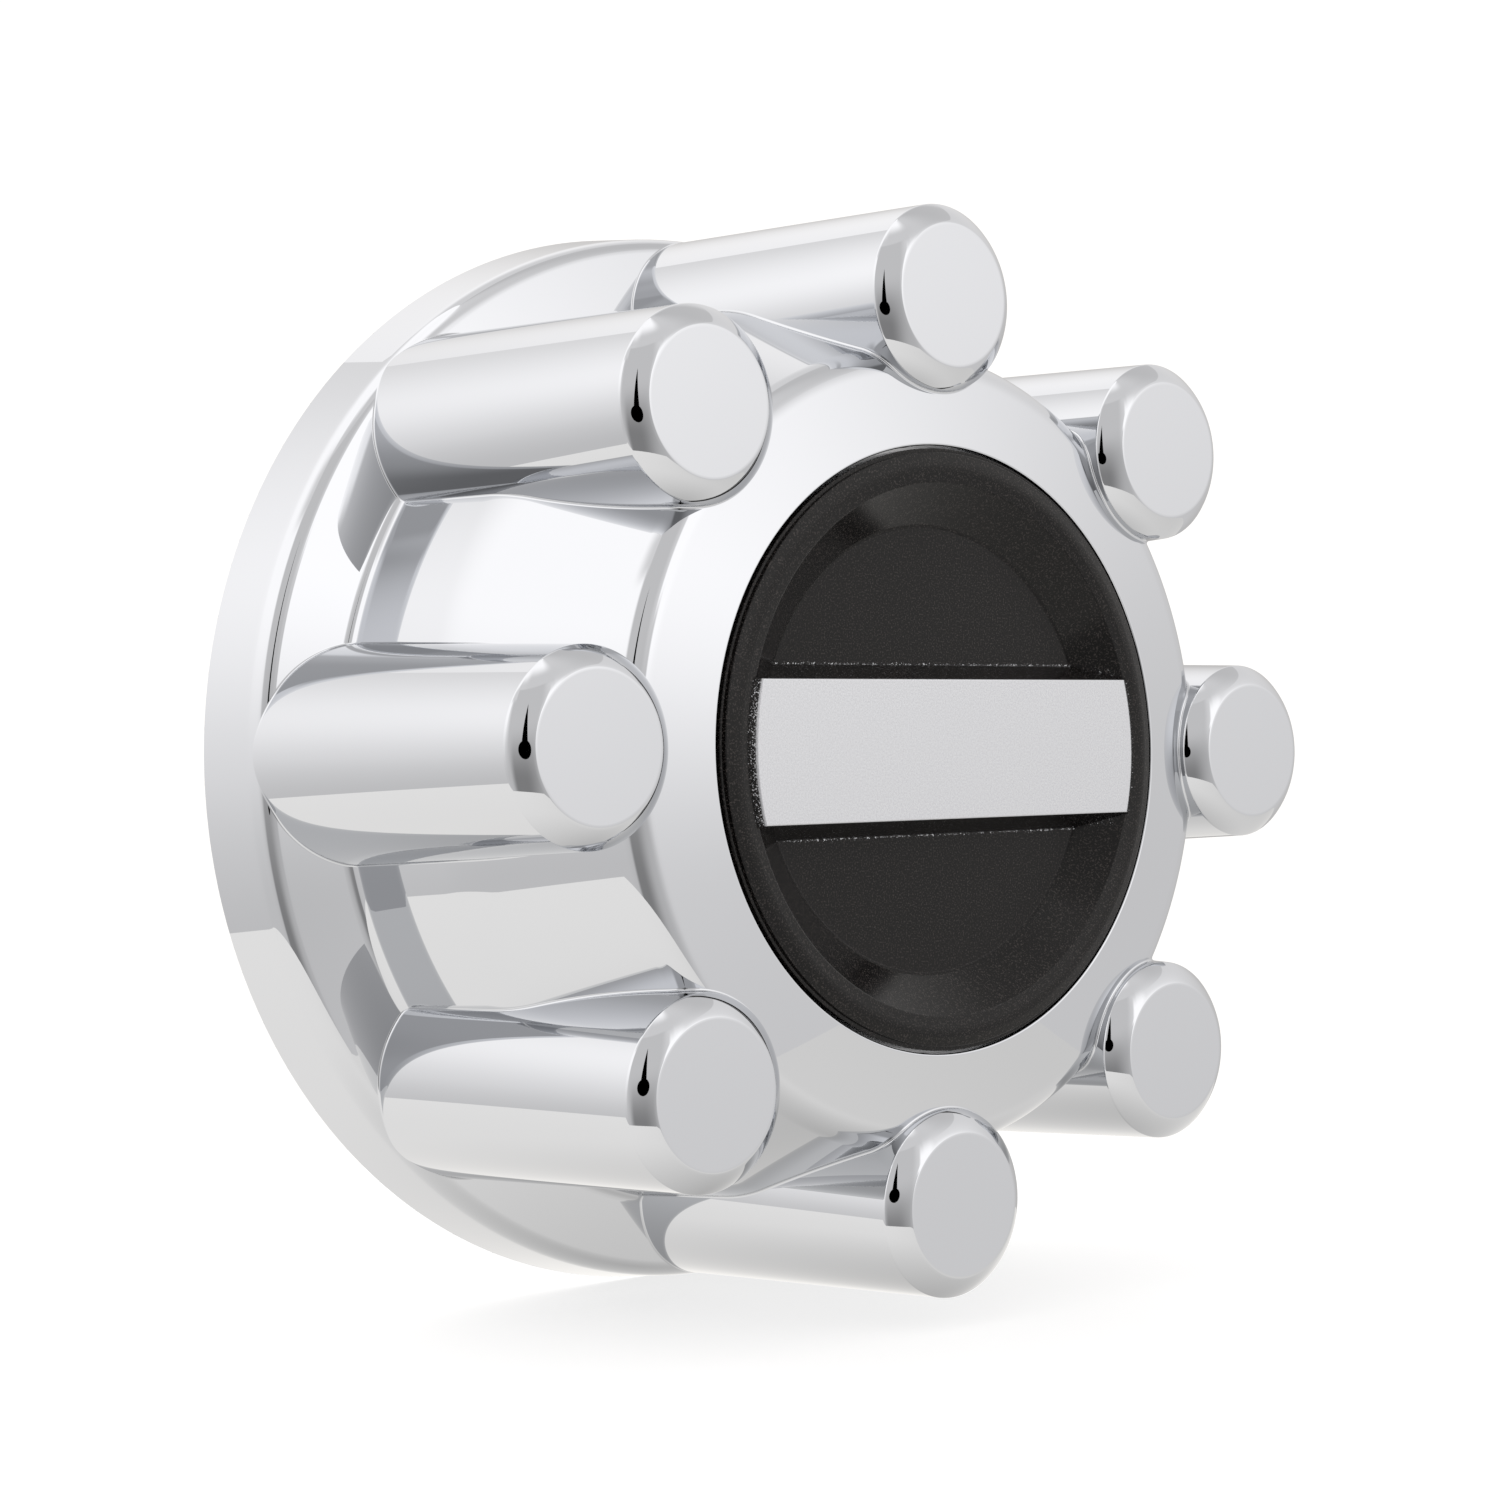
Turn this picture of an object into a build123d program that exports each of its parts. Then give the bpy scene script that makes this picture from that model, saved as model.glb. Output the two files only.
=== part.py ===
from build123d import *
from math import cos, radians, tan
import os

# Sizes are in millimetres. A height is measured forward from the wheel, along the cap's axis.
# A profile is drawn as radius against height, and turned about the axis.

# The wheel's nuts, which the cap pushes onto
nut_count = 8
nut_circle_d = 170.0
nut_corner_r = 12.1
nut_flange_r = 17.5
nut_flange_clearance = 0.5
nut_squeeze = 0.1

# Shell: depth, wall, skirt and flange panel. Reaches are measured outward from the nut circle
cap_depth = 90.0
wall = 2.8
skirt_back_reach = 23.0
skirt_front_reach = 20.95
flange_edge_h = 15.7
flange_edge_rounding = 4.4
flange_rise = 3.7
flange_root_rounding = 2.4

# Shell: barrel, in two drafted lengths with a soft bend between them
barrel_back_reach = 5.2
barrel_bend_reach = 2.6
barrel_bend_h = 50.0
barrel_bend_rounding = 40.0
barrel_front_inset = 10.5
barrel_edge_rounding = 7.0

# Shell: ring face and the opening that holds the insert
ring_rise = 3.1
opening_inset = 28.05
opening_drop = 2.8
opening_edge_rounding = 0.4
seat_depth = 3.7
seat_thickness = 2.4
seat_width = 4.0

# Lug covers
lug_mouth_wall = 3.66
lug_draft = 2.7
lug_chamfer_h = 3.45
lug_chamfer_width = 4.04
lug_chamfer_crown = 0.48
lug_crown_rounding = 13.0
lug_disc_rounding = 0.6
lug_shoulder_rounding = 0.6

# Ribs inside each lug cover
rib_count = 6
rib_thickness = 1.6
rib_clearance = 0.5
rib_front_drop = 28.0
rib_lead_in = 3.0

# Insert: its fit in the opening, lip, dished wall and floor
insert_gap = 0.55
insert_wall = 2.4
insert_turn = 0.9
insert_step_rise = 0.1
insert_step_width = 0.8
insert_edge_rounding = 0.2
lip_rise = 0.7
lip_top_rise = 1.3
lip_outer_width = 2.6
lip_inner_width = 3.0
lip_inner_rounding = 0.6
lip_top_rounding = 4.0
dish_wall_run = 8.0
floor_drop = 5.2
floor_rounding = 0.5

# Insert: raised bar
bar_rise = 1.8
bar_half_width = 13.0
bar_foot_half_width = 16.0
bar_end_inset = 1.0
bar_foot_overrun = 0.8
bar_edge_rounding = 0.3

# Insert: snap fingers
finger_count = 6
finger_angle = 12.0
finger_thickness = 1.8
finger_side_clearance = 0.6
finger_hook = 1.4
finger_hook_clearance = 0.15
finger_length = 4.0

# Worked out: heights, all set from the lug covers' fronts
lug_front_h = cap_depth
lug_shoulder_h = lug_front_h - lug_chamfer_h
rib_front_h = lug_front_h - rib_front_drop
opening_h = lug_front_h - opening_drop
barrel_front_h = opening_h - ring_rise
flange_root_h = flange_edge_h + flange_rise
seat_h = opening_h - seat_depth
insert_step_h = opening_h + insert_step_rise
lip_h = opening_h + lip_rise
lip_top_h = opening_h + lip_top_rise
floor_h = opening_h - floor_drop
bar_h = opening_h + bar_rise

# Worked out: radii about the cap's axis, all set from the nut circle
nut_circle_r = nut_circle_d / 2
skirt_back_r = nut_circle_r + skirt_back_reach
skirt_front_r = nut_circle_r + skirt_front_reach
barrel_back_r = nut_circle_r + barrel_back_reach
barrel_bend_r = nut_circle_r + barrel_bend_reach
barrel_front_r = nut_circle_r - barrel_front_inset
opening_r = nut_circle_r - opening_inset
seat_r = opening_r - seat_width
insert_r = opening_r - insert_gap
lip_outer_r = insert_r - insert_step_width
lip_top_r = lip_outer_r - lip_outer_width
lip_inner_r = lip_top_r - lip_inner_width
floor_r = lip_inner_r - dish_wall_run

# Worked out: radii about a lug cover's axis, set from the nut inside it
socket_r = nut_flange_r + nut_flange_clearance
grip_r = nut_corner_r - nut_squeeze
lug_slope = tan(radians(lug_draft))
cap_plane = Plane.XZ


def turned(points, roundings):
    """Turn a closed outline about the axis. Each corner has its own rounding, and 0 leaves it sharp."""
    outline = FilletPolyline(*points, radius=roundings, close=True)
    return revolve(Plane.XZ * make_face(outline), Axis.Z)


def turned_sharp(points):
    """Turn a closed outline with sharp corners about the axis."""
    return revolve(Plane.XZ * make_face(Polyline(*points, close=True)), Axis.Z)


def around(part, count):
    """Copies of a part, evenly spaced about the axis."""
    return [Rot(0, 0, i * 360 / count) * part for i in range(count)]


def on_nut_circle(part):
    """Copies of a part, one on each nut's axis."""
    return around(Pos(nut_circle_r, 0, 0) * part, nut_count)


def lug_radius(height):
    """Outer radius of a lug cover: it narrows away from the wheel by its draft."""
    return socket_r + lug_mouth_wall - height * lug_slope


def inset_corner(before, corner, after, amount):
    """Corner of the line that runs inside an outline, the given distance from both sides of the corner."""
    side_a = (Vector(*corner) - Vector(*before)).normalized()
    side_b = (Vector(*after) - Vector(*corner)).normalized()
    normal_a = Vector(side_a.Y, -side_a.X)
    normal_b = Vector(side_b.Y, -side_b.X)
    bisector = (normal_a + normal_b).normalized()
    moved = Vector(*corner) - bisector * (amount / bisector.dot(normal_a))
    return (moved.X, moved.Y)


def crown_corner(start, end, amount):
    """Middle of an outline's side, moved outside by the given distance."""
    middle = (Vector(*start) + Vector(*end)) / 2
    side = (Vector(*end) - Vector(*start)).normalized()
    moved = middle + Vector(side.Y, -side.X) * amount
    return (moved.X, moved.Y)


def inset_end(end, corner, amount):
    """Where an outline's last side, moved inside by the given distance, passes the height of its end."""
    side = (Vector(*corner) - Vector(*end)).normalized()
    return (end[0] - amount / abs(side.Y), end[1])


# Shell skin: from the skirt's back edge, over flange, barrel and ring face, into the opening
skin_line = [
    (skirt_back_r, 0),
    (skirt_front_r, flange_edge_h),
    (barrel_back_r, flange_root_h),
    (barrel_bend_r, barrel_bend_h),
    (barrel_front_r, barrel_front_h),
    (opening_r, opening_h),
]
skin_roundings = [
    flange_edge_rounding,
    flange_root_rounding,
    barrel_bend_rounding,
    barrel_edge_rounding,
    opening_edge_rounding,
]
skin = turned([(opening_r, 0)] + skin_line, [0, 0] + skin_roundings)

# Lug covers: drafted posts whose chamfered fronts bulge a little
lug_front_r = lug_radius(lug_shoulder_h)
lug_disc_r = lug_front_r - lug_chamfer_width
lug_back = (lug_radius(0), 0)
lug_shoulder = (lug_front_r, lug_shoulder_h)
lug_disc_edge = (lug_disc_r, lug_front_h)
lug_crown = crown_corner(lug_shoulder, lug_disc_edge, lug_chamfer_crown)
lug_post = turned(
    [(0, 0), lug_back, lug_shoulder, lug_crown, lug_disc_edge, (0, lug_front_h)],
    [0, 0, lug_shoulder_rounding, lug_crown_rounding, lug_disc_rounding, 0],
)
lug_posts = on_nut_circle(lug_post)

# Cavity: one wall inside the skin and open at the back. The posts pass through it as tubes
cavity_line = [
    inset_corner(skin_line[i - 1], skin_line[i], skin_line[i + 1], wall)
    for i in range(1, len(skin_line) - 1)
]
cavity_roundings = [
    flange_edge_rounding - wall,
    flange_root_rounding + wall,
    barrel_bend_rounding - wall,
    barrel_edge_rounding - wall,
]
cavity_front = (opening_r, opening_h - wall)
cavity = turned(
    [(0, 0), inset_end(skin_line[0], skin_line[1], wall)]
    + cavity_line
    + [cavity_front, (0, opening_h - wall)],
    [0, 0] + cavity_roundings + [0, 0],
)
cavity = cavity - lug_posts

# Sockets: the hollow of each lug cover, straight over the nut's flange and then drafted to a closed front
socket_straight_h = (lug_mouth_wall - wall / cos(radians(lug_draft))) / lug_slope
socket = turned_sharp(
    [
        (0, 0),
        (socket_r, 0),
        (socket_r, socket_straight_h),
        inset_corner(lug_back, lug_shoulder, lug_disc_edge, wall),
        inset_corner(lug_shoulder, lug_disc_edge, (0, lug_front_h), wall),
        (0, lug_front_h - wall),
    ]
)
sockets = on_nut_circle(socket)

# Insert seat: a collar behind the opening, with a ledge inward that the insert stands on
collar_front_h = opening_h - wall / 2
ledge_back_h = seat_h - seat_thickness
seat = turned_sharp(
    [
        (seat_r, ledge_back_h),
        (opening_r + wall, ledge_back_h),
        (opening_r + wall, collar_front_h),
        (opening_r, collar_front_h),
        (opening_r, seat_h),
        (seat_r, seat_h),
    ]
)

# Grip ribs: thin fins past the socket's straight part, sloped at the back so that the nut finds its way in
rib_root = wall / 2
rib_back_h = socket_straight_h + rib_clearance
rib_face = make_face(
    Polyline(
        (lug_radius(rib_back_h) - rib_root, rib_back_h),
        (lug_radius(rib_front_h) - rib_root, rib_front_h),
        (grip_r, rib_front_h),
        (grip_r, rib_back_h + rib_lead_in),
        close=True,
    )
)
rib = extrude(Plane.XZ * rib_face, rib_thickness / 2, both=True)
lug_ribs = Part() + around(rib, rib_count)

shell = skin + lug_posts - cavity + seat - sockets + on_nut_circle(lug_ribs)

# Insert: a dish with a rounded lip, standing on the seat
rim_under_h = insert_step_h - insert_wall
dish_floor = (floor_r, floor_h)
dish_lip = (lip_inner_r, lip_h)
under_floor = inset_corner(dish_lip, dish_floor, (0, floor_h), insert_wall)
dish_slope = dish_wall_run / (lip_h - floor_h)
under_lip_r = under_floor[0] + (rim_under_h - under_floor[1]) * dish_slope
dish_front = [
    (0, floor_h),
    dish_floor,
    dish_lip,
    (lip_top_r, lip_top_h),
    (lip_outer_r, lip_h),
    (lip_outer_r, insert_step_h),
    (insert_r, insert_step_h),
]
dish_front_roundings = [
    0,
    floor_rounding,
    lip_inner_rounding,
    lip_top_rounding,
    insert_edge_rounding,
    0,
    insert_edge_rounding,
]
dish_back = [
    (insert_r, seat_h),
    (insert_r - insert_wall, seat_h),
    (insert_r - insert_wall, rim_under_h),
    (under_lip_r, rim_under_h),
    under_floor,
    (0, floor_h - insert_wall),
]
dish = turned(dish_front + dish_back, dish_front_roundings + [0] * len(dish_back))

# Bar: sides sloped down to the floor, ends cut round and sloped down onto the lip
bar_root = insert_wall / 2
bar_root_h = floor_h - bar_root
bar_slope = (bar_foot_half_width - bar_half_width) / (bar_h - floor_h)
bar_root_half_width = bar_foot_half_width + bar_slope * bar_root
bar_section = make_face(
    Polyline(
        (-bar_root_half_width, bar_root_h),
        (-bar_half_width, bar_h),
        (bar_half_width, bar_h),
        (bar_root_half_width, bar_root_h),
        close=True,
    )
)
bar_end_r = lip_inner_r - bar_end_inset
bar_end_foot_r = lip_inner_r + bar_foot_overrun
bar_ends = turned_sharp(
    [
        (0, bar_root_h),
        (floor_r, bar_root_h),
        (bar_end_foot_r, lip_h - bar_root),
        (bar_end_foot_r, lip_h),
        (bar_end_r, bar_h),
        (0, bar_h),
    ]
)
bar = extrude(Plane.YZ * bar_section, lip_top_r, both=True) & bar_ends
bar = fillet(bar.faces().sort_by(Axis.Z)[-1].edges(), bar_edge_rounding)

# Bar pocket: the bar is hollow behind, one wall thick
pocket_half_width, pocket_h = inset_corner(
    (bar_foot_half_width, floor_h),
    (bar_half_width, bar_h),
    (0, bar_h),
    insert_wall,
)
pocket_foot_h = floor_h - insert_wall * 2
pocket_foot_half_width = pocket_half_width + bar_slope * (pocket_h - pocket_foot_h)
pocket_section = make_face(
    Polyline(
        (-pocket_foot_half_width, pocket_foot_h),
        (-pocket_half_width, pocket_h),
        (pocket_half_width, pocket_h),
        (pocket_foot_half_width, pocket_foot_h),
        close=True,
    )
)
pocket = extrude(Plane.YZ * pocket_section, floor_r, both=True)

# Snap fingers: they hang from the rim through the seat and hook behind its ledge
finger_r = seat_r - finger_side_clearance
finger_root_h = rim_under_h + bar_root / 2
hook_h = ledge_back_h - finger_hook_clearance
finger_face = make_face(
    Polyline(
        (finger_r - finger_thickness, finger_root_h),
        (finger_r, finger_root_h),
        (finger_r, hook_h),
        (finger_r + finger_hook, hook_h),
        (finger_r - finger_thickness / 2, hook_h - finger_length),
        (finger_r - finger_thickness, hook_h - finger_length),
        close=True,
    )
)
finger = revolve(Plane.XZ * finger_face, Axis.Z, finger_angle)
fingers = around(Rot(0, 0, -finger_angle / 2) * finger, finger_count)

insert = dish + bar - pocket + fingers
insert = Rot(0, 0, insert_turn) * insert

os.makedirs("parts", exist_ok=True)
export_step(cap_plane * shell, "parts/shell.step")
export_step(cap_plane * insert, "parts/insert.step")
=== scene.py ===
from math import cos, degrees, pi, radians, sin, tan

import bmesh
import bpy
import numpy as np
from mathutils import Matrix, Vector


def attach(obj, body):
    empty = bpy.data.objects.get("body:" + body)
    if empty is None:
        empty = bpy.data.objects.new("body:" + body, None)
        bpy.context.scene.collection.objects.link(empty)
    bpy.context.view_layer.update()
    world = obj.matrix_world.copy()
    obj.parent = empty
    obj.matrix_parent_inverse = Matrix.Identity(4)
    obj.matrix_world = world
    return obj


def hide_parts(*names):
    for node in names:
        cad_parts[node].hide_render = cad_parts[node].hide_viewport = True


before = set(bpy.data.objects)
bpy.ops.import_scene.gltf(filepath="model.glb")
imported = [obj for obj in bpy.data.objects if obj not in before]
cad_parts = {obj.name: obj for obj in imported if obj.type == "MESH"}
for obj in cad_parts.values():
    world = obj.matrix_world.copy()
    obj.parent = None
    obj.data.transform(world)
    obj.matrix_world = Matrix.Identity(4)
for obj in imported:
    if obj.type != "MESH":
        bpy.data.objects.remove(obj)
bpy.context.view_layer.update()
millimetre = 0.001

# Heights are measured forward from the wheel, along the cap's axis, which is -Y


# Shader maths: a wire is one output socket, and an expression on wires adds its Math nodes
class Wire:
    def __init__(self, tree, socket):
        self.tree, self.socket = tree, socket

    def math(self, operation, first, second=0.0):
        return addNode(self.tree, "ShaderNodeMath", {"operation": operation}, {0: first, 1: second})

    def __add__(self, other): return self.math("ADD", self, other)
    def __radd__(self, other): return self.math("ADD", other, self)
    def __sub__(self, other): return self.math("SUBTRACT", self, other)
    def __rsub__(self, other): return self.math("SUBTRACT", other, self)
    def __mul__(self, other): return self.math("MULTIPLY", self, other)
    def __rmul__(self, other): return self.math("MULTIPLY", other, self)
    def __pow__(self, other): return self.math("POWER", self, other)
    def __abs__(self): return self.math("ABSOLUTE", self)


def addNode(tree, kind, settings, inputs, output=0):
    # makes one node: its settings first, then the value or the wire of each input socket
    node = tree.nodes.new(kind)
    for name, value in settings.items():
        setattr(node, name, value)
    for name, value in inputs.items():
        if isinstance(value, Wire):
            tree.links.new(value.socket, node.inputs[name])
        else:
            node.inputs[name].default_value = value
    return Wire(tree, node.outputs[output])


def smoothStep(wire, low, high):
    # 0 below low, 1 above high, and a soft rise between them
    return addNode(wire.tree, "ShaderNodeMapRange", {"interpolation_type": "SMOOTHSTEP"},
                   {"Value": wire, "From Min": low, "From Max": high})


def mixColours(share, first, second):
    # first colour where share is 0, second where it is 1
    return addNode(share.tree, "ShaderNodeMix", {"data_type": "RGBA"},
                   {"Factor": share, 6: first, 7: second}, output=2)


def objectPlace(tree):
    # the three object coordinates, in metres, and the vector that holds them
    place = addNode(tree, "ShaderNodeTexCoord", {}, {}, output="Object")
    split = tree.nodes.new("ShaderNodeSeparateXYZ")
    tree.links.new(place.socket, split.inputs[0])
    return place, [Wire(tree, split.outputs[i]) for i in range(3)]


def noise(tree, place, scale, detail=2.0, roughness=0.5):
    # a cloudy pattern between 0 and 1
    return addNode(tree, "ShaderNodeTexNoise", {},
                   {"Vector": place, "Scale": scale, "Detail": detail, "Roughness": roughness})


def newFinish(name):
    # an empty material with its Principled shader: returns the material, its node tree and the shader
    material = bpy.data.materials.new(name)
    material.use_nodes = True
    return material, material.node_tree, material.node_tree.nodes["Principled BSDF"]


def feed(tree, shader, **sockets):
    # sets or links the shader's sockets, whose names are run together: baseColor stands for Base Color
    for name, value in sockets.items():
        words = "".join(" " + letter if letter.isupper() else letter for letter in name)
        socket = shader.inputs[words.title().replace("Ior", "IOR")]
        if isinstance(value, Wire):
            tree.links.new(value.socket, socket)
        else:
            socket.default_value = value


def relief(tree, height, strength, depth):
    # a bump as deep as given where the height is 1
    return addNode(tree, "ShaderNodeBump", {}, {"Strength": strength, "Distance": depth, "Height": height})


# Finishes. A scale is about how many blots of a pattern lie along a metre, and a pair is where a soft edge
# starts and where it is full
chromeLook = {
    "colour": (0.545, 0.557, 0.58, 1), "roughness": 0.006, "hazeRoughness": 0.02, "hazeScale": 135.0,
    "waveScale": 45.0, "waveDepth": 0.00002, "waveStrength": 0.05,
}


def chromeFinish():
    # bright plating: a mirror with a faint haze and a very shallow wave, as over moulded plastic
    material, tree, shader = newFinish("chromePlating")
    look = chromeLook
    place, _ = objectPlace(tree)
    haze = noise(tree, place, look["hazeScale"])
    wave = noise(tree, place, look["waveScale"], 1.0)
    feed(tree, shader, baseColor=look["colour"], metallic=1.0,
         roughness=haze * (look["hazeRoughness"] - look["roughness"]) + look["roughness"],
         normal=relief(tree, wave, look["waveStrength"], look["waveDepth"]))
    return material


backLook = {
    "bright": (0.6, 0.605, 0.615, 1), "dull": (0.46, 0.465, 0.475, 1), "metal": 0.8,
    "roughness": 0.3, "dullRoughness": 0.42, "cloudScale": 28.0, "cloudFrom": (0.35, 0.65),
    "grainScale": 900.0, "grainDepth": 0.00003, "grainStrength": 0.15,
}


def backFinish():
    # the hidden side: plating that came out thin and satin, cloudy, over the mould's fine grain
    material, tree, shader = newFinish("thinPlating")
    look = backLook
    place, _ = objectPlace(tree)
    cloud = smoothStep(noise(tree, place, look["cloudScale"], 3.0), *look["cloudFrom"])
    grain = noise(tree, place, look["grainScale"])
    feed(tree, shader, baseColor=mixColours(cloud, look["bright"], look["dull"]), metallic=look["metal"],
         roughness=cloud * (look["dullRoughness"] - look["roughness"]) + look["roughness"],
         normal=relief(tree, grain, look["grainStrength"], look["grainDepth"]))
    return material


# The insert's places are in millimetres: across the bar, out from the cap's axis, or forward
insertLook = {
    "black": (0.0034, 0.003, 0.003, 1), "fleck": (0.06, 0.052, 0.049, 1), "fleckShare": 0.7,
    "fleckFrom": (0.5, 0.75), "grainScale": 3000.0,
    "floorRoughness": 0.4, "wallRoughness": 0.13, "gloss": 0.19,
    "silver": (0.58, 0.588, 0.61, 1), "silverDark": (0.53, 0.538, 0.56, 1), "silverFrom": (0.3, 0.7),
    "silverRoughness": 0.27, "silverMetal": 0.9,
    "sprayScale": 3200.0, "sprayFrom": (0.78, 0.84), "sprayStrength": 0.45,
    "endSpray": 0.56, "footSpray": 0.5, "slopeSpray": 0.3,
    "turn": 0.9, "paintSide": (12.95, 13.15), "paintHeight": (88.7, 88.9), "wallHeight": (82.3, 82.5),
    "paintEnd": (48.9, 49.1), "endSprayFade": (49.2, 52.2), "footSprayFade": (16.0, 16.8),
    "slopeFoot": (15.5, 16.0), "slopeEnd": (48.5, 49.5),
}


def insertFinish():
    # satin black moulding with fine flecks. Silver paint covers the bar's front, and loose specks of it lie
    # on the bar's ends, thinner with distance, on its slopes, and in a line along its foot
    material, tree, shader = newFinish("blackAndSilver")
    look = insertLook
    place, (x, y, z) = objectPlace(tree)
    x, y, z = x * (1 / millimetre), y * (1 / millimetre), z * (1 / millimetre)
    turn = radians(look["turn"])
    across = abs(z * cos(turn) - x * sin(turn))
    radius, height = (x * x + z * z) ** 0.5, -1 * y
    grain = noise(tree, place, look["grainScale"], 1.0)
    specks = noise(tree, place, look["sprayScale"], 2.0, 0.7)
    inside = 1 - smoothStep(across, *look["paintSide"])
    paint = smoothStep(height, *look["paintHeight"]) * inside
    raised = smoothStep(height, *look["wallHeight"])
    pastEnd = smoothStep(radius, *look["paintEnd"]) * (1 - smoothStep(radius, *look["endSprayFade"]))
    endSpray = inside * pastEnd * look["endSpray"]
    footSpray = (1 - raised) * (1 - smoothStep(across, *look["footSprayFade"])) * look["footSpray"]
    onSlope = (1 - smoothStep(across, *look["slopeFoot"])) * (1 - smoothStep(radius, *look["slopeEnd"]))
    slopeSpray = raised * onSlope * look["slopeSpray"]
    amount = (endSpray + footSpray + slopeSpray) * look["sprayStrength"]
    silverShare = paint + (1 - paint) * smoothStep(specks + amount, *look["sprayFrom"])
    fleck = smoothStep(grain, *look["fleckFrom"]) * look["fleckShare"]
    black = mixColours(fleck, look["black"], look["fleck"])
    silver = mixColours(smoothStep(grain, *look["silverFrom"]), look["silverDark"], look["silver"])
    blackRoughness = raised * (look["wallRoughness"] - look["floorRoughness"]) + look["floorRoughness"]
    feed(tree, shader, baseColor=mixColours(silverShare, black, silver),
         metallic=silverShare * look["silverMetal"], specularIorLevel=look["gloss"],
         roughness=silverShare * (look["silverRoughness"] - blackRoughness) + blackRoughness)
    return material


# Shell: the sizes of its skin and its lug covers, in millimetres
shellSizes = {
    "lugCount": 8, "lugCircle": 85.0,
    "skirtBack": 108.0, "skirtFront": 105.95, "flangeEdge": 15.7, "flangeRise": 3.7,
    "barrelBack": 90.2, "barrelBend": 87.6, "bendHeight": 50.0, "barrelFront": 74.5, "barrelTop": 84.1,
    "opening": 56.95, "openingHeight": 87.2, "seatDepth": 3.7,
    "roundings": (4.4, 2.4, 40.0, 7.0, 0.4),
    "lugFront": 90.0, "lugDisc": 13.54, "lugShoulder": 17.58, "lugChamfer": 3.45, "lugCrown": 0.48,
    "lugDraft": 2.7, "lugRoundings": (0.6, 13.0, 0.6), "rootRounding": 0.5,
    "skirtRows": 14, "barrelRows": 110, "ringRows": 34,
    "skinColumns": 12, "lugColumns": 4, "rootColumns": 4, "frontColumns": 26,
    "skinSamples": 40000, "lugSamples": 20000, "skinTurnLength": 12.0, "lugTurnLength": 6.0,
}


def roundedPath(corners, roundings, samples):
    # straight runs joined by tangent arcs: points, and normals to the right of the way it runs
    corners = np.array(corners, float)
    start, runs = corners[0], []
    for before, corner, after, rounding in zip(corners, corners[1:], corners[2:], roundings):
        inward, outward = corner - before, after - corner
        inward, outward = inward / np.hypot(*inward), outward / np.hypot(*outward)
        turn = np.arctan2(inward[0] * outward[1] - inward[1] * outward[0], inward @ outward)
        reach = rounding * np.tan(abs(turn) / 2)
        first, last = corner - inward * reach, corner + outward * reach
        runs.append((start, first, 0.0, 0.0, inward))
        runs.append((first, last, rounding, turn, inward))
        start = last
    runs.append((start, corners[-1], 0.0, 0.0, (corners[-1] - start) / np.hypot(*(corners[-1] - start))))
    lengths = [rounding * abs(turn) if rounding else np.hypot(*(b - a)) for a, b, rounding, turn, _ in runs]
    points, normals = [], []
    for (a, b, rounding, turn, direction), length in zip(runs, lengths):
        t = np.linspace(0, 1, max(2, int(samples * length / sum(lengths))), endpoint=False)[:, None]
        right = np.array([direction[1], -direction[0]])
        if not rounding:
            points.append(a + (b - a) * t)
            normals.append(np.repeat(right[None], len(t), 0))
        else:
            spoke = right * np.sign(turn)
            c, s = np.cos(turn * t), np.sin(turn * t)
            turned = np.hstack([spoke[0] * c - spoke[1] * s, spoke[0] * s + spoke[1] * c])
            points.append(a - spoke * rounding + rounding * turned)
            normals.append(turned * np.sign(turn))
    points.append(corners[-1:])
    normals.append(normals[-1][-1:])
    return np.vstack(points), np.vstack(normals)


def evenRows(points, normals, count, turnLength=shellSizes["skinTurnLength"]):
    # picks samples so that the way along the path and its turning together grow by equal steps, where turning
    # by one radian counts as much as the turn length
    way = np.linalg.norm(np.diff(points, axis=0), axis=1)
    turning = np.linalg.norm(np.diff(normals, axis=0), axis=1)
    walked = np.concatenate([[0], np.cumsum(way + turnLength * turning)])
    picked = np.searchsorted(walked, np.linspace(0, walked[-1], count))
    return np.unique(np.clip(picked, 0, len(points) - 1))


def skinPath(samples):
    # the skin's outline as radius against height, from the skirt's back edge into the opening
    s = shellSizes
    return roundedPath([
        (s["skirtBack"], 0), (s["skirtFront"], s["flangeEdge"]),
        (s["barrelBack"], s["flangeEdge"] + s["flangeRise"]),
        (s["barrelBend"], s["bendHeight"]), (s["barrelFront"], s["barrelTop"]),
        (s["opening"], s["openingHeight"]), (s["opening"], s["openingHeight"] - s["seatDepth"])],
        s["roundings"], samples)


def lugPath(samples):
    # a lug cover's outline as radius against height, from low on its side to the middle of its disc
    s = shellSizes
    low, draft = s["flangeEdge"], tan(radians(s["lugDraft"]))
    shoulder = np.array([s["lugShoulder"], s["lugFront"] - s["lugChamfer"]])
    disc = np.array([s["lugDisc"], s["lugFront"]])
    across, rise = disc - shoulder
    crown = (shoulder + disc) / 2 + np.array([rise, -across]) / np.hypot(across, rise) * s["lugCrown"]
    foot = (shoulder[0] + (shoulder[1] - low) * draft, low)
    return roundedPath([foot, shoulder, crown, disc, (0, s["lugFront"])], s["lugRoundings"], samples)


def polar(radius, angle, height):
    # (radius, angle, height) about the cap's axis as (across, up, forward)
    return np.stack([radius * np.cos(angle), radius * np.sin(angle), height + 0 * (radius + angle)], -1)


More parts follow.
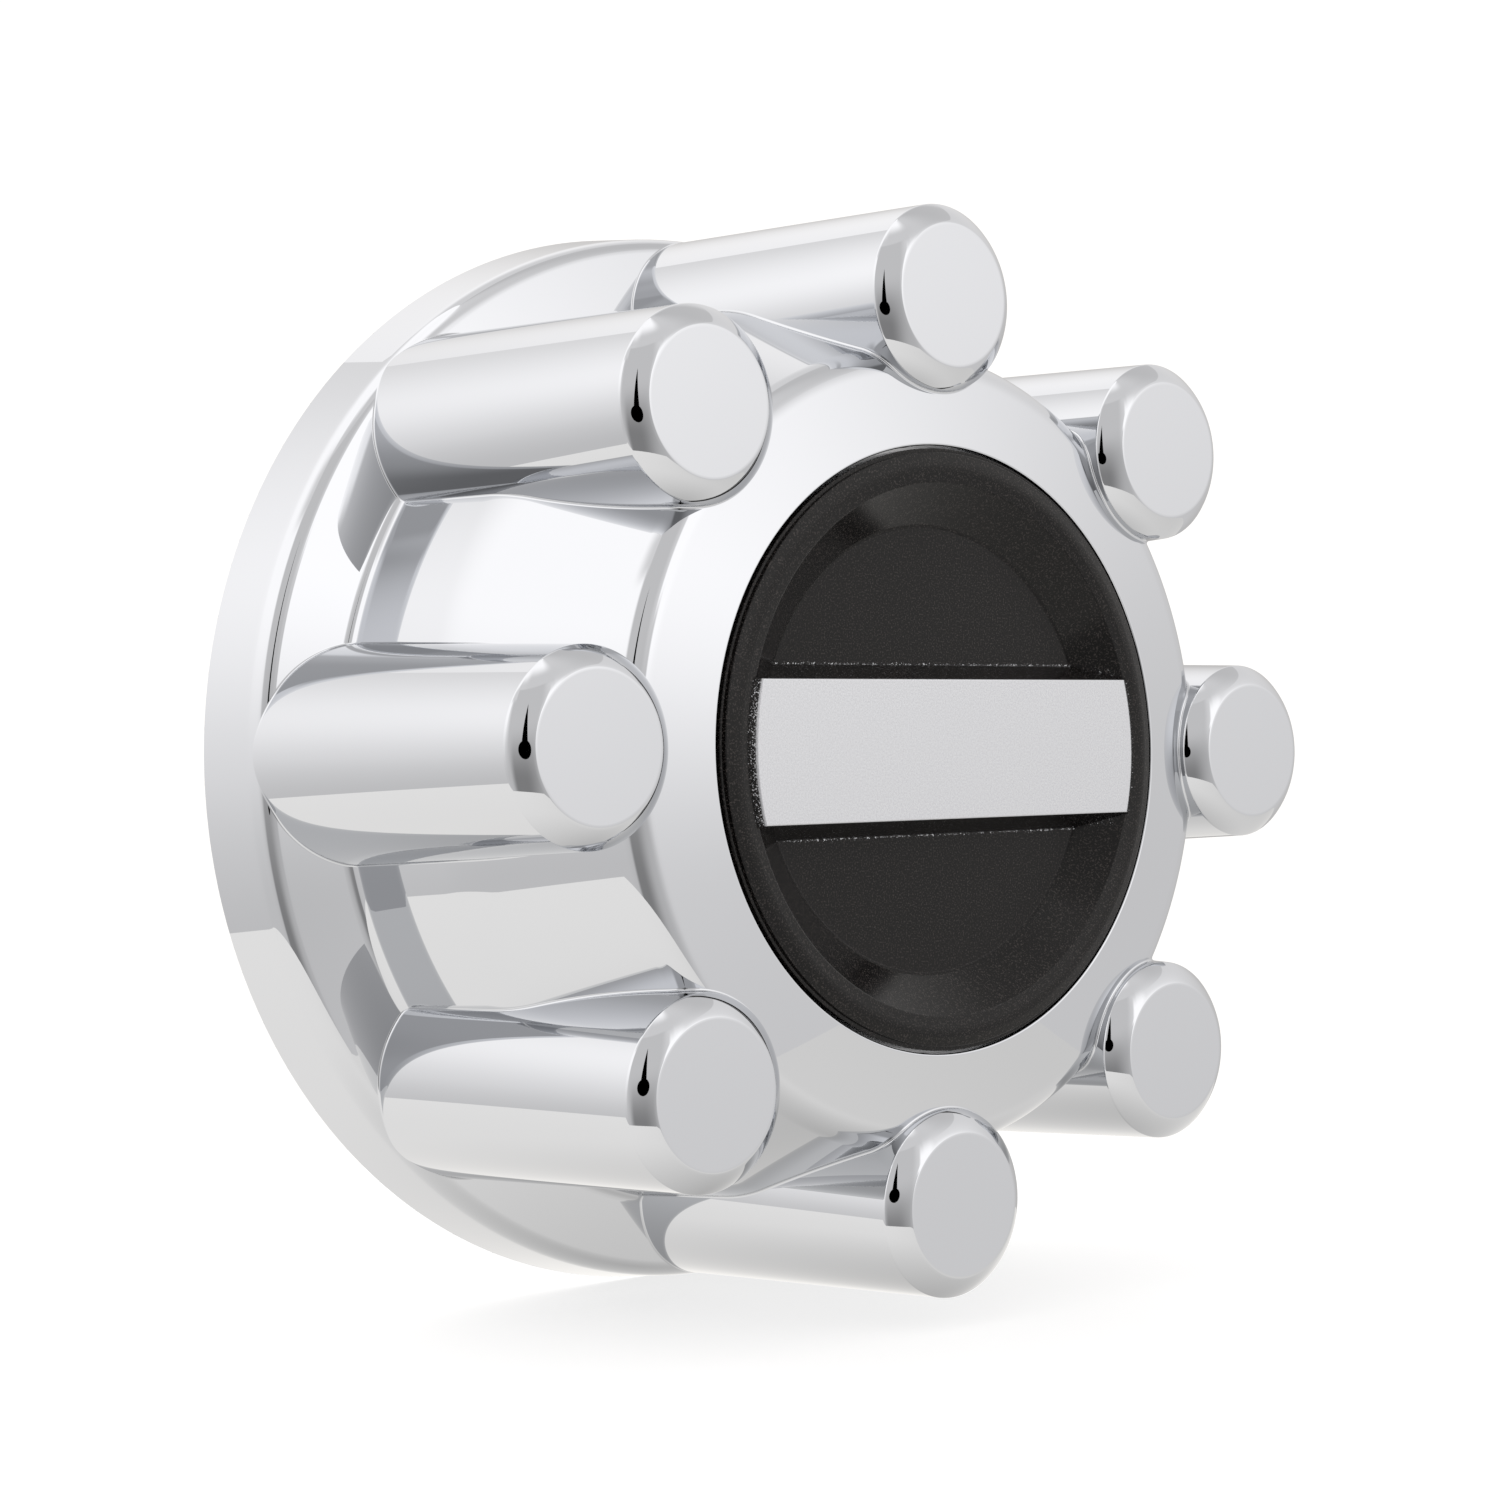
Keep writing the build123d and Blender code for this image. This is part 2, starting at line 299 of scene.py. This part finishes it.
def sectorPatches():
    # half a sector of the shell's face, from a lug cover's middle to halfway to the next one, as four grids:
    # skin, lug side, lug front, and the root, where a ball rolls along the corner between skin and lug
    s = shellSizes
    draft, half = radians(s["lugDraft"]), pi / s["lugCount"]
    shoulder = s["lugFront"] - s["lugChamfer"]
    ball, circle = s["rootRounding"], s["lugCircle"]
    points, normals = skinPath(s["skinSamples"])
    centre = points + ball * normals
    apart = s["lugShoulder"] + (shoulder - centre[:, 1] + ball * sin(draft)) * tan(draft) + ball * cos(draft)
    closeness = (centre[:, 0] ** 2 + circle ** 2 - apart ** 2) / (2 * centre[:, 0] * circle)
    rolling = np.flatnonzero((closeness < 1) & (centre[:, 1] < s["openingHeight"] + 1))
    first, last = rolling[0], rolling[-1]
    angle = np.zeros(len(centre))
    angle[first:last + 1] = np.arccos(np.clip(closeness[first:last + 1], -1, 1))
    angle[[first, last]] = 0
    ballPath = polar(centre[:, 0], angle, centre[:, 1])
    skinNormal = polar(normals[:, 0], angle, normals[:, 1])
    roundLug = np.arctan2(ballPath[:, 1], ballPath[:, 0] - circle)
    lugNormal = polar(np.full_like(roundLug, cos(draft)), roundLug, sin(draft))

    before = evenRows(points[:first + 1], normals[:first + 1], s["skirtRows"])
    bothNormals = lugNormal + skinNormal
    along = first + evenRows(ballPath[first:last + 1], bothNormals[first:last + 1], s["barrelRows"])
    after = last + evenRows(points[last:], normals[last:], s["ringRows"])
    rows = np.unique(np.concatenate([before, along, after]))
    t = np.linspace(0, 1, s["skinColumns"] + 1)
    round_ = angle[rows][:, None] * (1 - t) + half * t
    skin = (polar(points[rows][:, :1], round_, points[rows][:, 1:]),
            polar(normals[rows][:, :1], round_, normals[rows][:, 1:]))

    round_ = roundLug[along][:, None]
    round_[0], round_[-1] = 0.0, pi
    path, pathNormals = lugPath(s["lugSamples"])
    bend = np.flatnonzero(np.abs(pathNormals - pathNormals[0]).sum(1) > 1e-9)[0] - 1
    t = np.linspace(0, 1, s["lugColumns"] + 1)
    height = (ballPath[along][:, 2:] - ball * sin(draft)) * (1 - t) + path[bend, 1] * t
    radius = s["lugShoulder"] + (shoulder - height) * tan(draft)
    shift = np.array([circle, 0, 0])
    side = shift + polar(radius, round_, height), polar(cos(draft) + 0 * radius, round_, sin(draft))
    front = bend + evenRows(path[bend:], pathNormals[bend:], s["frontColumns"] + 1, s["lugTurnLength"])
    path, pathNormals = path[front], pathNormals[front]
    front = shift + polar(path[:, 0], round_, path[:, 1]), polar(pathNormals[:, 0], round_, pathNormals[:, 1])

    t = np.linspace(0, 1, s["rootColumns"] + 1)[None, :, None]
    a, b = lugNormal[along][:, None], skinNormal[along][:, None]
    swing = np.maximum(np.arccos(np.clip((a * b).sum(-1, keepdims=True), -1, 1)), 1e-6)
    rootNormal = (a * np.sin((1 - t) * swing) + b * np.sin(t * swing)) / np.sin(swing)
    rootNormal /= np.linalg.norm(rootNormal, axis=-1, keepdims=True)
    root = ballPath[along][:, None] - ball * rootNormal, rootNormal
    return [skin, side, front, root]


def turnedPatches(patches, count):
    # each grid and its mirror image, turned round the axis; quads are wound to agree with the grid's normals
    points, normals, faces, used = [], [], [], 0
    for grid, gridNormals in patches:
        corner = np.arange(grid.shape[0] * grid.shape[1]).reshape(grid.shape[:2])
        quads = np.stack([corner[:-1, :-1], corner[1:, :-1], corner[1:, 1:], corner[:-1, 1:]], -1)
        quads = quads.reshape(-1, 4)
        for mirror in (1, -1):
            flat = (grid * (1, mirror, 1)).reshape(-1, 3)
            flatNormals = (gridNormals * (1, mirror, 1)).reshape(-1, 3)
            facing = np.cross(flat[quads[:, 2]] - flat[quads[:, 0]], flat[quads[:, 3]] - flat[quads[:, 1]])
            wound = quads if (facing * flatNormals[quads[:, 0]]).sum() > 0 else quads[:, ::-1]
            for i in range(count):
                a = 2 * pi * i / count
                turn = np.array([[cos(a), sin(a), 0], [-sin(a), cos(a), 0], [0, 0, 1]])
                points.append(flat @ turn)
                normals.append(flatNormals @ turn)
                faces.append(wound + used)
                used += len(flat)
    return np.vstack(points), np.vstack(normals), np.vstack(faces)


def toPart(points):
    # (across, up, forward) in the part's axes, where forward is -Y
    return np.stack([points[:, 0], -points[:, 2], points[:, 1]], -1)


# How near two points of one mesh lie when they are the same point, in metres
weldSizes = {"grid": 0.000002, "gridSliver": 0.0000005, "cadCopy": 0.000003}


def gridPiece(name, points, normals, faces, finish):
    # an object from quads, with its doubles merged and its exact normals kept for shading
    mesh = bpy.data.meshes.new(name)
    mesh.from_pydata(points, [], faces.tolist())
    held = mesh.attributes.new("exactNormal", "FLOAT_VECTOR", "POINT")
    held.data.foreach_set("vector", normals.astype(np.float32).ravel())
    work = bmesh.new()
    work.from_mesh(mesh)
    bmesh.ops.remove_doubles(work, verts=work.verts, dist=weldSizes["grid"])
    bmesh.ops.dissolve_degenerate(work, dist=weldSizes["gridSliver"], edges=work.edges)
    work.to_mesh(mesh)
    work.free()
    kept = np.zeros(len(mesh.vertices) * 3, np.float32)
    mesh.attributes["exactNormal"].data.foreach_get("vector", kept)
    mesh.shade_smooth()
    mesh.normals_split_custom_set_from_vertices(kept.reshape(-1, 3).tolist())
    mesh.attributes.remove(mesh.attributes["exactNormal"])
    mesh.materials.append(finish)
    piece = bpy.data.objects.new(name, mesh)
    bpy.context.scene.collection.objects.link(piece)
    return piece


def shellFace(finish):
    # the shell's plated face, with the root roundings: one half sector, mirrored and turned to every lug
    points, normals, faces = turnedPatches(sectorPatches(), shellSizes["lugCount"])
    piece = gridPiece("shellFace", toPart(points) * millimetre, toPart(normals), faces, finish)
    print("shell face:", len(piece.data.vertices), "points,", len(piece.data.polygons), "faces")
    return piece


def mergedCopy(node, name, finish, dropped=()):
    # a copy of a CAD node without the dropped faces: its loose triangles merged, and its exact normals kept
    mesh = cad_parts[node].data.copy()
    mesh.name = name
    exact = np.zeros(len(mesh.loops) * 3, np.float32)
    mesh.corner_normals.foreach_get("vector", exact)
    mesh.attributes.new("exactNormal", "FLOAT_VECTOR", "CORNER").data.foreach_set("vector", exact)
    work = bmesh.new()
    work.from_mesh(mesh)
    work.faces.ensure_lookup_table()
    bmesh.ops.delete(work, geom=[work.faces[i] for i in dropped], context="FACES")
    bmesh.ops.remove_doubles(work, verts=work.verts, dist=weldSizes["cadCopy"])
    work.to_mesh(mesh)
    work.free()
    kept = np.zeros(len(mesh.loops) * 3, np.float32)
    mesh.attributes["exactNormal"].data.foreach_get("vector", kept)
    for spent in ("exactNormal", "custom_normal"):
        mesh.attributes.remove(mesh.attributes[spent])
    mesh.shade_smooth()
    mesh.normals_split_custom_set(kept.reshape(-1, 3).tolist())
    mesh.materials.clear()
    mesh.materials.append(finish)
    piece = bpy.data.objects.new(name, mesh)
    bpy.context.scene.collection.objects.link(piece)
    return piece


# Which faces of the CAD shell belong to its face: how near the outlines they lie, and how far under the skin
# a lug cover's outside still shows, in millimetres
backSizes = {"onFace": 0.5, "underSkin": 1.4, "skinSamples": 900, "lugSamples": 500, "batch": 4000}


def insidePath(points, path, normals):
    # each (radius, height) point against its nearest sample of the path: how far it lies inside, measured
    # along the sample's normal, and its whole distance. It is worked out for a few thousand points at a time
    depth, distance = np.zeros(len(points)), np.zeros(len(points))
    batch = backSizes["batch"]
    for start in range(0, len(points), batch):
        part = points[start:start + batch]
        squares = ((part[:, None] - path[None]) ** 2).sum(-1)
        nearest = squares.argmin(1)
        depth[start:start + batch] = ((path[nearest] - part) * normals[nearest]).sum(-1)
        distance[start:start + batch] = np.sqrt(squares.min(1))
    return depth, distance


def shellBack(finish):
    # the shell's hollow back, from the CAD node: the faces that lie neither on its skin nor on the outside of
    # its lug covers, and those on the one that the other hides
    s, near = shellSizes, backSizes["onFace"]
    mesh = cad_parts["shell"].data
    centres = np.zeros(len(mesh.polygons) * 3)
    mesh.polygons.foreach_get("center", centres)
    across, back, up = (centres.reshape(-1, 3) / millimetre).T
    radius, height = np.hypot(across, up), -back
    step = 2 * pi / s["lugCount"]
    lugTurn = np.round(np.arctan2(up, across) / step) * step
    fromLug = np.hypot(across - s["lugCircle"] * np.cos(lugTurn), up - s["lugCircle"] * np.sin(lugTurn))
    depth, distance = insidePath(np.stack([radius, height], -1), *skinPath(backSizes["skinSamples"]))
    lugDepth, lugDistance = insidePath(np.stack([fromLug, height], -1), *lugPath(backSizes["lugSamples"]))
    onSkin = (distance < near) & (lugDepth < near)
    onLug = (lugDistance < near) & (depth < backSizes["underSkin"]) & (height > s["flangeEdge"])
    onFace = onSkin | onLug
    piece = mergedCopy("shell", "shellBack", finish, np.flatnonzero(onFace).tolist())
    print("shell back:", len(piece.data.polygons), "faces,", int(onFace.sum()), "left to the face")
    return piece


# Camera at the photograph's viewing angle
cameraView = {"azimuth": -40.971, "elevation": -0.931, "roll": -0.591, "distance": 0.51431,
              "target": (-0.051788, -0.09, -0.000363), "focalLength": 1.95729067}


def placeCamera():
    # the camera stands at its distance from the target, and its focal length is in widths of the picture
    v = cameraView
    data = bpy.data.cameras.new("camera")
    data.sensor_fit = "HORIZONTAL"
    data.lens = data.sensor_width * v["focalLength"]
    data.clip_start, data.clip_end = 0.01, 20
    camera = bpy.data.objects.new("camera", data)
    a, e = radians(v["azimuth"]), radians(v["elevation"])
    back = Vector((sin(a) * cos(e), -cos(a) * cos(e), sin(e)))
    turn = back.to_track_quat("Z", "Y").to_matrix() @ Matrix.Rotation(radians(v["roll"]), 3, "Z")
    camera.matrix_world = Matrix.Translation(Vector(v["target"]) + back * v["distance"]) @ turn.to_4x4()
    bpy.context.scene.collection.objects.link(camera)
    bpy.context.scene.camera = camera


# Studio: a pale room with wide soft lights, a pale floor under the cap for the camera, and a round table top
# lower down for the reflections. Angles are in degrees: azimuth 0 is in front, and a positive one to the
# right. Each patch lays its tone over the ones before, and softens its left, right, lower and upper edge
studio = {
    "floorHeight": -0.1081, "floorRadius": 0.26, "floorCentre": (-0.02, -0.05),
    "floorColour": (0.33, 0.33, 0.33, 1), "floorRoughness": 0.7, "floorGlow": 0.68, "roundSides": 128,
    "tint": (1.02, 1.0, 0.985, 1), "gain": 1.39, "tone": 0.78, "white": 1.06,
    "patches": [
        {"azimuth": (38, 106), "elevation": (46, 110), "soften": (70, 14, 1, 1), "tone": 0.62},
        {"azimuth": (-215, -6), "elevation": (61, 110), "soften": (1, 24, 13, 1), "tone": 1.25},
        {"azimuth": (-48, 20), "elevation": (50, 68), "soften": (16, 40, 4, 16), "tone": 0.74},
        {"azimuth": (-62, -12), "elevation": (-110, 51), "soften": (5, 12, 1, 2), "tone": 0.65},
        {"azimuth": (-157, -64), "elevation": (8, 110), "soften": (75, 8, 44, 1), "tone": 1.23},
        {"azimuth": (-86, -58), "elevation": (41, 54), "soften": (44, 2, 6, 10), "tone": 0.8},
        {"azimuth": (-215, 39), "elevation": (-110, -14), "soften": (1, 134, 1, 25), "tone": 0.63},
        {"azimuth": (-59, 9), "elevation": (-110, 9), "soften": (46, 28, 1, 29), "tone": 0.53},
        {"azimuth": (-57, -20), "elevation": (-110, -5), "soften": (9, 35, 1, 43), "tone": 0.25},
        {"azimuth": (-5, 15), "elevation": (18, 42), "soften": (4, 10, 6, 18), "tone": 1.27},
        {"azimuth": (1, 52), "elevation": (2, 39), "soften": (5, 88, 23, 38), "tone": 1.27},
        {"azimuth": (133, 215), "elevation": (30, 59), "soften": (58, 1, 60, 22), "tone": 1.1},
        {"azimuth": (59, 215), "elevation": (-34, 15), "soften": (84, 1, 56, 42), "tone": 0.62},
        {"azimuth": (110, 215), "elevation": (-33, 22), "soften": (50, 1, 22, 50), "tone": 0.36},
    ],
    "table": {
        "height": -0.222, "radius": 0.61, "centre": (0.172, 0.08), "tint": (1.025, 1.0, 0.962, 1),
        # the table's glow, and the painted shade towards its right
        "tone": 0.93, "rightTone": 0.72, "rightFrom": (-0.45, 0.55),
        # painted shadow of the cap on the table top: its tone, its soft reach, and its centre
        "paintedShadowTone": 0.45, "paintedShadowFrom": (-0.1, 0.3), "under": (0.048, -0.053),
    },
    "eye": {"behind": 0.01, "halfWidth": 0.085, "halfHeight": 0.066, "slitHeight": 0.38, "slitWidth": 0.09},
}


def stageSheet(name, outlines, material, glossyOnly):
    # flat faces that belong to the studio, one for each closed outline of points
    points = np.vstack(outlines)
    ends = np.cumsum([len(outline) for outline in outlines])
    faces = [list(range(end - len(outline), end)) for end, outline in zip(ends, outlines)]
    mesh = bpy.data.meshes.new(name)
    mesh.from_pydata(points, [], faces)
    mesh.materials.append(material)
    sheet = bpy.data.objects.new(name, mesh)
    bpy.context.scene.collection.objects.link(sheet)
    sheet.visible_glossy = glossyOnly
    if glossyOnly:
        sheet.visible_camera = sheet.visible_diffuse = sheet.visible_shadow = False
        sheet.visible_transmission = sheet.visible_volume_scatter = False
    return sheet


def ring(radius):
    # a closed round outline as two columns
    turn = np.linspace(0, 2 * pi, studio["roundSides"], endpoint=False)
    return radius * np.stack([np.cos(turn), np.sin(turn)], -1)


def paintRoom():
    # the room's light by direction, and plain white where the camera sees it
    world = bpy.data.worlds.new("room")
    bpy.context.scene.world = world
    world.use_nodes = True
    tree = world.node_tree
    way = addNode(tree, "ShaderNodeTexCoord", {}, {}, output="Generated")
    split = tree.nodes.new("ShaderNodeSeparateXYZ")
    tree.links.new(way.socket, split.inputs[0])
    x, y, z = [Wire(tree, split.outputs[i]) for i in range(3)]
    azimuth = x.math("ARCTAN2", x, -1 * y) * degrees(1)
    elevation = z.math("ARCSINE", z) * degrees(1)
    tone = studio["tone"]
    for patch in studio["patches"]:
        left, right, low, high = patch["soften"]
        (west, east), (bottom, top) = patch["azimuth"], patch["elevation"]
        share = smoothStep(azimuth, west - left / 2, west + left / 2) \
            * (1 - smoothStep(azimuth, east - right / 2, east + right / 2)) \
            * smoothStep(elevation, bottom - low / 2, bottom + low / 2) \
            * (1 - smoothStep(elevation, top - high / 2, top + high / 2))
        tone = tone + share * (patch["tone"] - tone)
    seen = addNode(tree, "ShaderNodeLightPath", {}, {}, output="Is Camera Ray")
    background = tree.nodes["Background"]
    background.inputs["Color"].default_value = studio["tint"]
    tone = tone * studio["gain"]
    tree.links.new((tone + seen * (studio["white"] - tone)).socket, background.inputs["Strength"])


def placeFloor():
    # a round pale floor right under the cap, which glows a little for the camera: only a soft shadow shows
    material, tree, shader = newFinish("paleFloor")
    seen = addNode(tree, "ShaderNodeLightPath", {}, {}, output="Is Camera Ray")
    feed(tree, shader, baseColor=studio["floorColour"], roughness=studio["floorRoughness"],
         emissionColor=(1, 1, 1, 1), emissionStrength=seen * studio["floorGlow"])
    round_ = ring(studio["floorRadius"]) + studio["floorCentre"]
    stageSheet("floor", [np.c_[round_, np.full(len(round_), studio["floorHeight"])]], material, False)


def placeTable():
    # the table top that the plating mirrors, a glowing sheet whose tone is painted light: bright, with
    # painted shade to the right and a painted shadow of the cap right under it
    t = studio["table"]
    material, tree, shader = newFinish("tableTop")
    _, (x, y, _) = objectPlace(tree)
    across, along = x - t["under"][0], y - t["under"][1]
    reach = (across * across + along * along) ** 0.5
    # painted shade: the glow dims towards the right
    tone = t["tone"] + smoothStep(x, *t["rightFrom"]) * (t["rightTone"] - t["tone"])
    # painted shadow of the cap, darkest right under it
    tone = tone + (1 - smoothStep(reach, *t["paintedShadowFrom"])) * (t["paintedShadowTone"] - tone)
    feed(tree, shader, baseColor=(0, 0, 0, 1), specularIorLevel=0, emissionColor=t["tint"],
         emissionStrength=tone * studio["gain"])
    round_ = ring(t["radius"]) + t["centre"]
    stageSheet("table", [np.c_[round_, np.full(len(round_), t["height"])]], material, True)


def placeEye():
    # the dark round of the photographer's lens and the slit above it, as the plating mirrors them
    e = studio["eye"]
    material, tree, shader = newFinish("darkEye")
    feed(tree, shader, baseColor=(0, 0, 0, 1), specularIorLevel=0, roughness=1)
    view = bpy.context.scene.camera.matrix_world
    wide, high = e["slitWidth"] / 2, e["slitHeight"]
    outlines = [ring(1) * (e["halfWidth"], e["halfHeight"]), np.array([(-wide, 0), (wide, 0), (0, high)])]
    turn, place = np.array(view.to_3x3()).T, np.array(view.translation)
    turned = [np.c_[flat, np.full(len(flat), e["behind"])] @ turn + place for flat in outlines]
    stageSheet("eye", turned, material, True)


def addPiece(piece, node):
    # a piece that is shown in place of a CAD node, moves with the root and takes one material slot
    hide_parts(node)
    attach(piece, "root")


chrome = chromeFinish()
addPiece(shellFace(chrome), "shell")
addPiece(shellBack(backFinish()), "shell")
addPiece(mergedCopy("insert", "insertBody", insertFinish()), "insert")
print("pieces placed")

placeCamera()
paintRoom()
placeFloor()
placeTable()
placeEye()
bpy.context.scene.view_settings.view_transform = "Standard"
print("studio placed")
